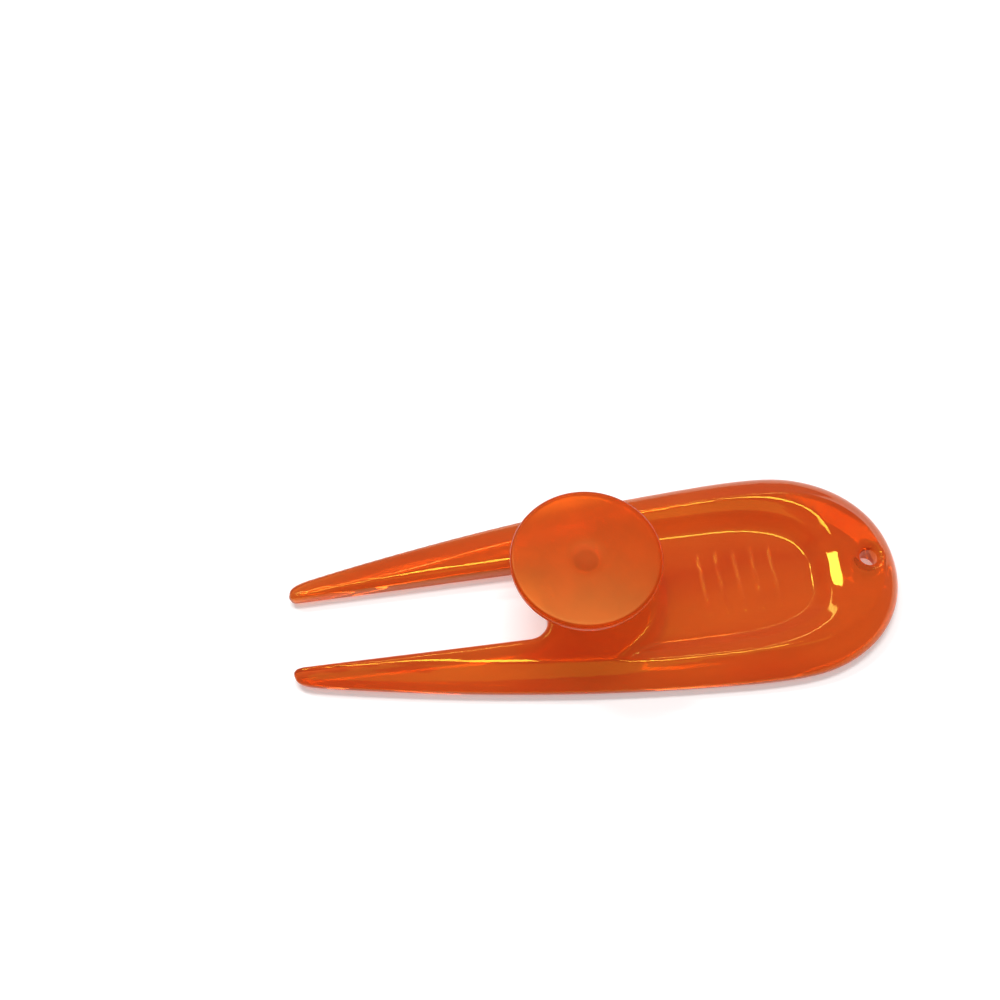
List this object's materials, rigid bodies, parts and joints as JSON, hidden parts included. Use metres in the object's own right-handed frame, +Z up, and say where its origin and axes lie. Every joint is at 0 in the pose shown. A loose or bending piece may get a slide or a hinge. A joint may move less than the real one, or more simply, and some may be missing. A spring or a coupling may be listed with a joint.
{
  "type": "divot repair tool",
  "caption": "Two-pronged golf divot repair tool in see-through plastic, with a thumb recess, a ring hole and a lift-out disc ball marker pegged into its neck.",
  "frame": {"origin": "on the surface the tool lies on, under the middle of the body", "axes": "+X from the prong tips to the round end, +Y across the prongs, +Z up from the underside through the ball marker's peg"},
  "size_m": [0.0801, 0.0293, 0.0138],
  "materials": {
    "body_plastic": "translucent orange, moulded gloss",
    "marker_plastic": "translucent orange, satin top and gloss underside"
  },
  "bodies": {
    "tool_body": {"tool_body": "body_plastic"},
    "ball_marker": {"ball_marker": "marker_plastic"}
  },
  "joints": [
    {"name": "marker_lift", "type": "slide", "parent": "tool_body", "child": "ball_marker", "axis": [0, 0, 1], "range_m": [-0.0085, 0.008]}
  ]
}
